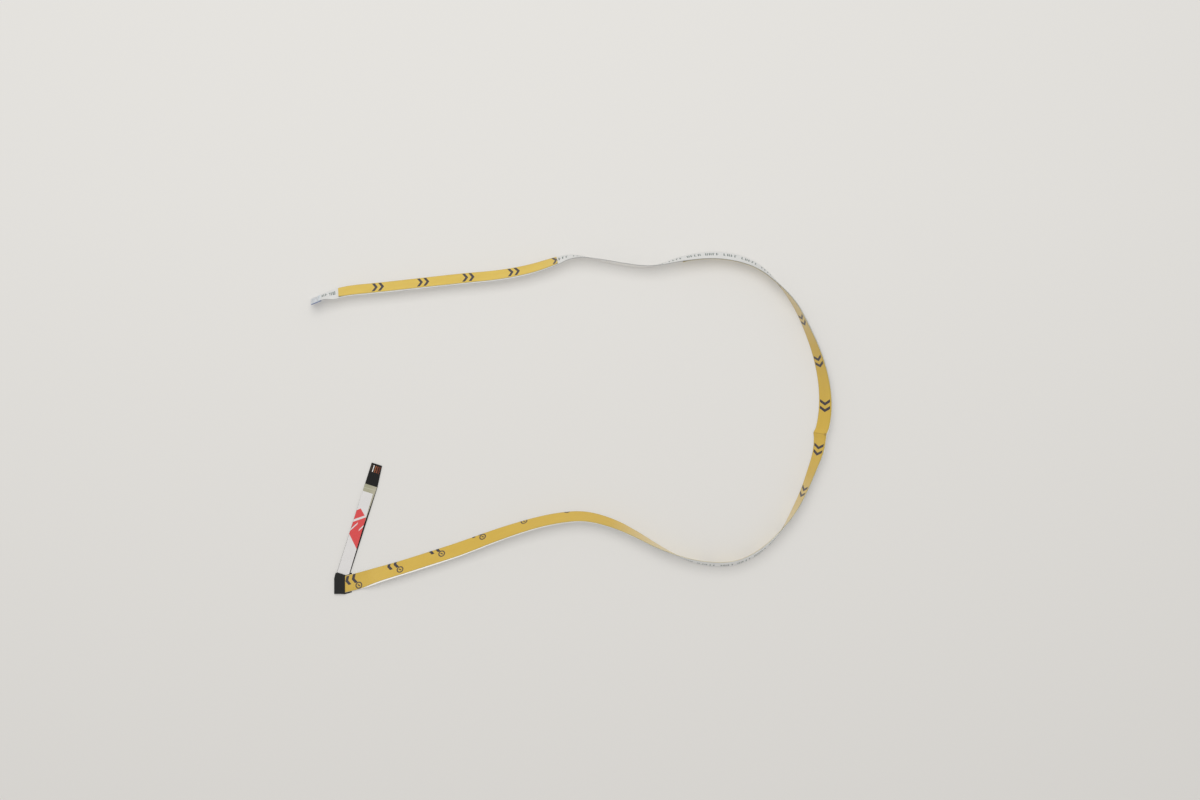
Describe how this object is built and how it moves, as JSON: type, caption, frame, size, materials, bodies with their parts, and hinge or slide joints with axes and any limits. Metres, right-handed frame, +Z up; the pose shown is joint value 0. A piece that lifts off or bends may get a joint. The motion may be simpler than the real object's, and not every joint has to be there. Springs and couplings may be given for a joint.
{
  "type": "flat flexible cable",
  "caption": "White flat flexible cable with yellow-backed stick-on tape, bare contacts at one end, joined under a black tape to a short black flexible circuit.",
  "frame": {"origin": "on the flat underside of the black tape that is folded round the solder joints, where the cable meets the short circuit", "axes": "+X towards the cable's loop, +Y from the solder joints towards the board end, +Z up from the surface that the cable lies on"},
  "size_m": [0.1733, 0.1139, 0.0056],
  "materials": {
    "white_film": "white polyester film, satin",
    "tinned_copper": "tinned flat copper",
    "stiffener_blue": "blue polyester stiffener",
    "tape_tissue": "double-sided tissue tape, cut edge",
    "liner_yellow": null,
    "liner_white": null,
    "circuit_black": "black polyimide, satin",
    "copper": "copper, gold flashed at the contacts",
    "solder": "dull solder",
    "wrap_black": "black acetate cloth tape"
  },
  "bodies": {
    "root": {"back_film": "white_film", "board_end_stiffener": "stiffener_blue", "conductor_01": "tinned_copper", "conductor_02": "tinned_copper", "conductor_03": "tinned_copper", "conductor_04": "tinned_copper", "conductor_05": "tinned_copper", "conductor_06": "tinned_copper", "conductor_07": "tinned_copper", "conductor_08": "tinned_copper", "conductor_09": "tinned_copper", "conductor_10": "tinned_copper", "joint_wrap": "wrap_black", "lower_liner": "liner_yellow", "lower_tape": "tape_tissue", "printed_film": "white_film", "solder_joint_1": "solder", "solder_joint_2": "solder", "solder_joint_3": "solder", "solder_joint_4": "solder", "solder_joint_5": "solder", "tail_base": "circuit_black", "tail_coverlay": "circuit_black", "tail_liner": "liner_white", "tail_stiffener": "circuit_black", "tail_tape": "tape_tissue", "tail_trace_1": "copper", "tail_trace_2": "copper", "tail_trace_3": "copper", "tail_trace_4": "copper", "tail_trace_5": "copper", "upper_liner": "liner_yellow", "upper_tape": "tape_tissue"}
  },
  "joints": []
}
